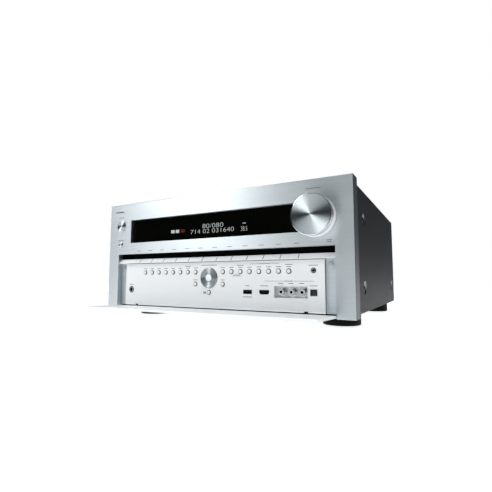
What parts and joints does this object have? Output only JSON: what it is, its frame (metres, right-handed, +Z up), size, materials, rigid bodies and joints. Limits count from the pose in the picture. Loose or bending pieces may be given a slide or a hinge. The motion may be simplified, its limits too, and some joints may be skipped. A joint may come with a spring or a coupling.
{
  "type": "stereo receiver",
  "caption": "Silver home-cinema receiver with a large volume knob, dark display window, sloped input keys and a drop-down flap open over an inner control panel.",
  "frame": {"origin": "middle of the whole object's box at floor level, with the flap open", "axes": "+Z up, front towards -Y, +X to the right as seen from the front"},
  "size_m": [0.435, 0.4844, 0.197],
  "materials": {
    "front_aluminium": "fine horizontal brushing, clear anodised",
    "panel_aluminium": "satin silver",
    "turned_aluminium": "turned face, bright rim",
    "key_silver": "silver finish",
    "dark_glass": "smoked, polished",
    "cover_paint": "fine satin paint",
    "chassis_steel": "plated sheet",
    "pin_steel": "bright",
    "rear_paint": "fine texture",
    "screw_chrome": "polished",
    "black_plastic": "matt",
    "socket_metal": "plated",
    "board_green": "lacquered board",
    "fin_aluminium": "extruded",
    "capacitor_sleeve": "shrink sleeve"
  },
  "bodies": {
    "cabinet": {"fascia": "front_aluminium", "sub_panel": "panel_aluminium", "side_trims": "panel_aluminium", "display_window": "dark_glass", "top_cover": "cover_paint", "chassis_pan": "chassis_steel", "transformer": "chassis_steel", "hinge_pins": "pin_steel", "rear_panel": "rear_paint", "cover_screws": "screw_chrome", "front_carrier": "black_plastic", "front_jacks": "black_plastic", "rear_sockets": "black_plastic", "ac_inlet": "black_plastic", "speaker_terminals": "black_plastic", "feet": "black_plastic", "front_sockets": "socket_metal", "rear_data_sockets": "socket_metal", "circuit_boards": "board_green", "front_boards": "board_green", "heat_sink": "fin_aluminium", "reservoir_capacitors": "capacitor_sleeve"},
    "volume_knob": {"volume_knob": "turned_aluminium"},
    "power_button": {"power_button": "turned_aluminium"},
    "direct_button": {"direct_button": "turned_aluminium"},
    "flap": {"flap": "panel_aluminium"},
    "cursor_ring": {"cursor_ring": "turned_aluminium"},
    "cursor_gimbal": {"cursor_gimbal": "black_plastic"},
    "enter_button": {"enter_button": "turned_aluminium"},
    "input_key_01": {"input_key_01": "key_silver"},
    "input_key_02": {"input_key_02": "key_silver"},
    "input_key_03": {"input_key_03": "key_silver"},
    "input_key_04": {"input_key_04": "key_silver"},
    "input_key_05": {"input_key_05": "key_silver"},
    "input_key_06": {"input_key_06": "key_silver"},
    "input_key_07": {"input_key_07": "key_silver"},
    "input_key_08": {"input_key_08": "key_silver"},
    "input_key_09": {"input_key_09": "key_silver"},
    "input_key_10": {"input_key_10": "key_silver"},
    "input_key_11": {"input_key_11": "key_silver"},
    "input_key_12": {"input_key_12": "key_silver"},
    "panel_button_01": {"panel_button_01": "key_silver"},
    "panel_button_02": {"panel_button_02": "key_silver"},
    "panel_button_03": {"panel_button_03": "key_silver"},
    "panel_button_04": {"panel_button_04": "key_silver"},
    "panel_button_05": {"panel_button_05": "key_silver"},
    "panel_button_06": {"panel_button_06": "key_silver"},
    "panel_button_07": {"panel_button_07": "key_silver"},
    "panel_button_08": {"panel_button_08": "key_silver"},
    "panel_button_09": {"panel_button_09": "key_silver"},
    "panel_button_10": {"panel_button_10": "key_silver"},
    "panel_button_11": {"panel_button_11": "key_silver"},
    "panel_button_12": {"panel_button_12": "key_silver"},
    "panel_button_13": {"panel_button_13": "key_silver"},
    "panel_button_14": {"panel_button_14": "key_silver"},
    "panel_button_15": {"panel_button_15": "key_silver"},
    "panel_button_16": {"panel_button_16": "key_silver"},
    "panel_button_17": {"panel_button_17": "key_silver"},
    "panel_button_18": {"panel_button_18": "key_silver"},
    "panel_button_19": {"panel_button_19": "key_silver"}
  },
  "joints": [
    {"name": "flap_fold", "type": "hinge", "parent": "cabinet", "child": "flap", "pos_m": [0, -0.1692, 0.0176], "axis": [-1, 0, 0], "range_deg": [0, 88]},
    {"name": "volume_turn", "type": "hinge", "parent": "cabinet", "child": "volume_knob", "pos_m": [0.1694, -0.1708, 0.1456], "axis": [0, -1, 0], "continuous": true},
    {"name": "cursor_up_down", "type": "hinge", "parent": "cabinet", "child": "cursor_gimbal", "pos_m": [-0.002, -0.1612, 0.0665], "axis": [1, 0, 0], "range_deg": [-2, 2], "stiffness_Nm_per_rad": 0.15},
    {"name": "cursor_left_right", "type": "hinge", "parent": "cursor_gimbal", "child": "cursor_ring", "pos_m": [-0.002, -0.1612, 0.0665], "axis": [0, 0, 1], "range_deg": [-2, 2], "stiffness_Nm_per_rad": 0.15},
    {"name": "enter_press", "type": "slide", "parent": "cabinet", "child": "enter_button", "axis": [0, 1, 0], "range_m": [0, 0.0008], "stiffness_N_per_m": 500, "springref_m": -0.0005},
    {"name": "power_press", "type": "slide", "parent": "cabinet", "child": "power_button", "axis": [0, 1, 0], "range_m": [0, 0.0015], "stiffness_N_per_m": 600, "springref_m": -0.0005},
    {"name": "direct_press", "type": "slide", "parent": "cabinet", "child": "direct_button", "axis": [0, 1, 0], "range_m": [0, 0.0012], "stiffness_N_per_m": 500, "springref_m": -0.0005},
    {"name": "input_key_01_press", "type": "slide", "parent": "cabinet", "child": "input_key_01", "axis": [0, 1, 0], "range_m": [0, 0.001], "stiffness_N_per_m": 500, "springref_m": -0.0005},
    {"name": "input_key_02_press", "type": "slide", "parent": "cabinet", "child": "input_key_02", "axis": [0, 1, 0], "range_m": [0, 0.001], "stiffness_N_per_m": 500, "springref_m": -0.0005},
    {"name": "input_key_03_press", "type": "slide", "parent": "cabinet", "child": "input_key_03", "axis": [0, 1, 0], "range_m": [0, 0.001], "stiffness_N_per_m": 500, "springref_m": -0.0005},
    {"name": "input_key_04_press", "type": "slide", "parent": "cabinet", "child": "input_key_04", "axis": [0, 1, 0], "range_m": [0, 0.001], "stiffness_N_per_m": 500, "springref_m": -0.0005},
    {"name": "input_key_05_press", "type": "slide", "parent": "cabinet", "child": "input_key_05", "axis": [0, 1, 0], "range_m": [0, 0.001], "stiffness_N_per_m": 500, "springref_m": -0.0005},
    {"name": "input_key_06_press", "type": "slide", "parent": "cabinet", "child": "input_key_06", "axis": [0, 1, 0], "range_m": [0, 0.001], "stiffness_N_per_m": 500, "springref_m": -0.0005},
    {"name": "input_key_07_press", "type": "slide", "parent": "cabinet", "child": "input_key_07", "axis": [0, 1, 0], "range_m": [0, 0.001], "stiffness_N_per_m": 500, "springref_m": -0.0005},
    {"name": "input_key_08_press", "type": "slide", "parent": "cabinet", "child": "input_key_08", "axis": [0, 1, 0], "range_m": [0, 0.001], "stiffness_N_per_m": 500, "springref_m": -0.0005},
    {"name": "input_key_09_press", "type": "slide", "parent": "cabinet", "child": "input_key_09", "axis": [0, 1, 0], "range_m": [0, 0.001], "stiffness_N_per_m": 500, "springref_m": -0.0005},
    {"name": "input_key_10_press", "type": "slide", "parent": "cabinet", "child": "input_key_10", "axis": [0, 1, 0], "range_m": [0, 0.001], "stiffness_N_per_m": 500, "springref_m": -0.0005},
    {"name": "input_key_11_press", "type": "slide", "parent": "cabinet", "child": "input_key_11", "axis": [0, 1, 0], "range_m": [0, 0.001], "stiffness_N_per_m": 500, "springref_m": -0.0005},
    {"name": "input_key_12_press", "type": "slide", "parent": "cabinet", "child": "input_key_12", "axis": [0, 1, 0], "range_m": [0, 0.001], "stiffness_N_per_m": 500, "springref_m": -0.0005},
    {"name": "panel_button_01_press", "type": "slide", "parent": "cabinet", "child": "panel_button_01", "axis": [0, 1, 0], "range_m": [0, 0.0008], "stiffness_N_per_m": 500, "springref_m": -0.0005},
    {"name": "panel_button_02_press", "type": "slide", "parent": "cabinet", "child": "panel_button_02", "axis": [0, 1, 0], "range_m": [0, 0.0008], "stiffness_N_per_m": 500, "springref_m": -0.0005},
    {"name": "panel_button_03_press", "type": "slide", "parent": "cabinet", "child": "panel_button_03", "axis": [0, 1, 0], "range_m": [0, 0.0008], "stiffness_N_per_m": 500, "springref_m": -0.0005},
    {"name": "panel_button_04_press", "type": "slide", "parent": "cabinet", "child": "panel_button_04", "axis": [0, 1, 0], "range_m": [0, 0.0008], "stiffness_N_per_m": 500, "springref_m": -0.0005},
    {"name": "panel_button_05_press", "type": "slide", "parent": "cabinet", "child": "panel_button_05", "axis": [0, 1, 0], "range_m": [0, 0.0008], "stiffness_N_per_m": 500, "springref_m": -0.0005},
    {"name": "panel_button_06_press", "type": "slide", "parent": "cabinet", "child": "panel_button_06", "axis": [0, 1, 0], "range_m": [0, 0.0008], "stiffness_N_per_m": 500, "springref_m": -0.0005},
    {"name": "panel_button_07_press", "type": "slide", "parent": "cabinet", "child": "panel_button_07", "axis": [0, 1, 0], "range_m": [0, 0.0008], "stiffness_N_per_m": 500, "springref_m": -0.0005},
    {"name": "panel_button_08_press", "type": "slide", "parent": "cabinet", "child": "panel_button_08", "axis": [0, 1, 0], "range_m": [0, 0.0008], "stiffness_N_per_m": 500, "springref_m": -0.0005},
    {"name": "panel_button_09_press", "type": "slide", "parent": "cabinet", "child": "panel_button_09", "axis": [0, 1, 0], "range_m": [0, 0.0008], "stiffness_N_per_m": 500, "springref_m": -0.0005},
    {"name": "panel_button_10_press", "type": "slide", "parent": "cabinet", "child": "panel_button_10", "axis": [0, 1, 0], "range_m": [0, 0.0008], "stiffness_N_per_m": 500, "springref_m": -0.0005},
    {"name": "panel_button_11_press", "type": "slide", "parent": "cabinet", "child": "panel_button_11", "axis": [0, 1, 0], "range_m": [0, 0.0008], "stiffness_N_per_m": 500, "springref_m": -0.0005},
    {"name": "panel_button_12_press", "type": "slide", "parent": "cabinet", "child": "panel_button_12", "axis": [0, 1, 0], "range_m": [0, 0.0008], "stiffness_N_per_m": 500, "springref_m": -0.0005},
    {"name": "panel_button_13_press", "type": "slide", "parent": "cabinet", "child": "panel_button_13", "axis": [0, 1, 0], "range_m": [0, 0.0008], "stiffness_N_per_m": 500, "springref_m": -0.0005},
    {"name": "panel_button_14_press", "type": "slide", "parent": "cabinet", "child": "panel_button_14", "axis": [0, 1, 0], "range_m": [0, 0.0008], "stiffness_N_per_m": 500, "springref_m": -0.0005},
    {"name": "panel_button_15_press", "type": "slide", "parent": "cabinet", "child": "panel_button_15", "axis": [0, 1, 0], "range_m": [0, 0.0008], "stiffness_N_per_m": 500, "springref_m": -0.0005},
    {"name": "panel_button_16_press", "type": "slide", "parent": "cabinet", "child": "panel_button_16", "axis": [0, 1, 0], "range_m": [0, 0.0008], "stiffness_N_per_m": 500, "springref_m": -0.0005},
    {"name": "panel_button_17_press", "type": "slide", "parent": "cabinet", "child": "panel_button_17", "axis": [0, 1, 0], "range_m": [0, 0.0008], "stiffness_N_per_m": 500, "springref_m": -0.0005},
    {"name": "panel_button_18_press", "type": "slide", "parent": "cabinet", "child": "panel_button_18", "axis": [0, 1, 0], "range_m": [0, 0.0008], "stiffness_N_per_m": 500, "springref_m": -0.0005},
    {"name": "panel_button_19_press", "type": "slide", "parent": "cabinet", "child": "panel_button_19", "axis": [0, 1, 0], "range_m": [0, 0.0008], "stiffness_N_per_m": 500, "springref_m": -0.0005}
  ]
}
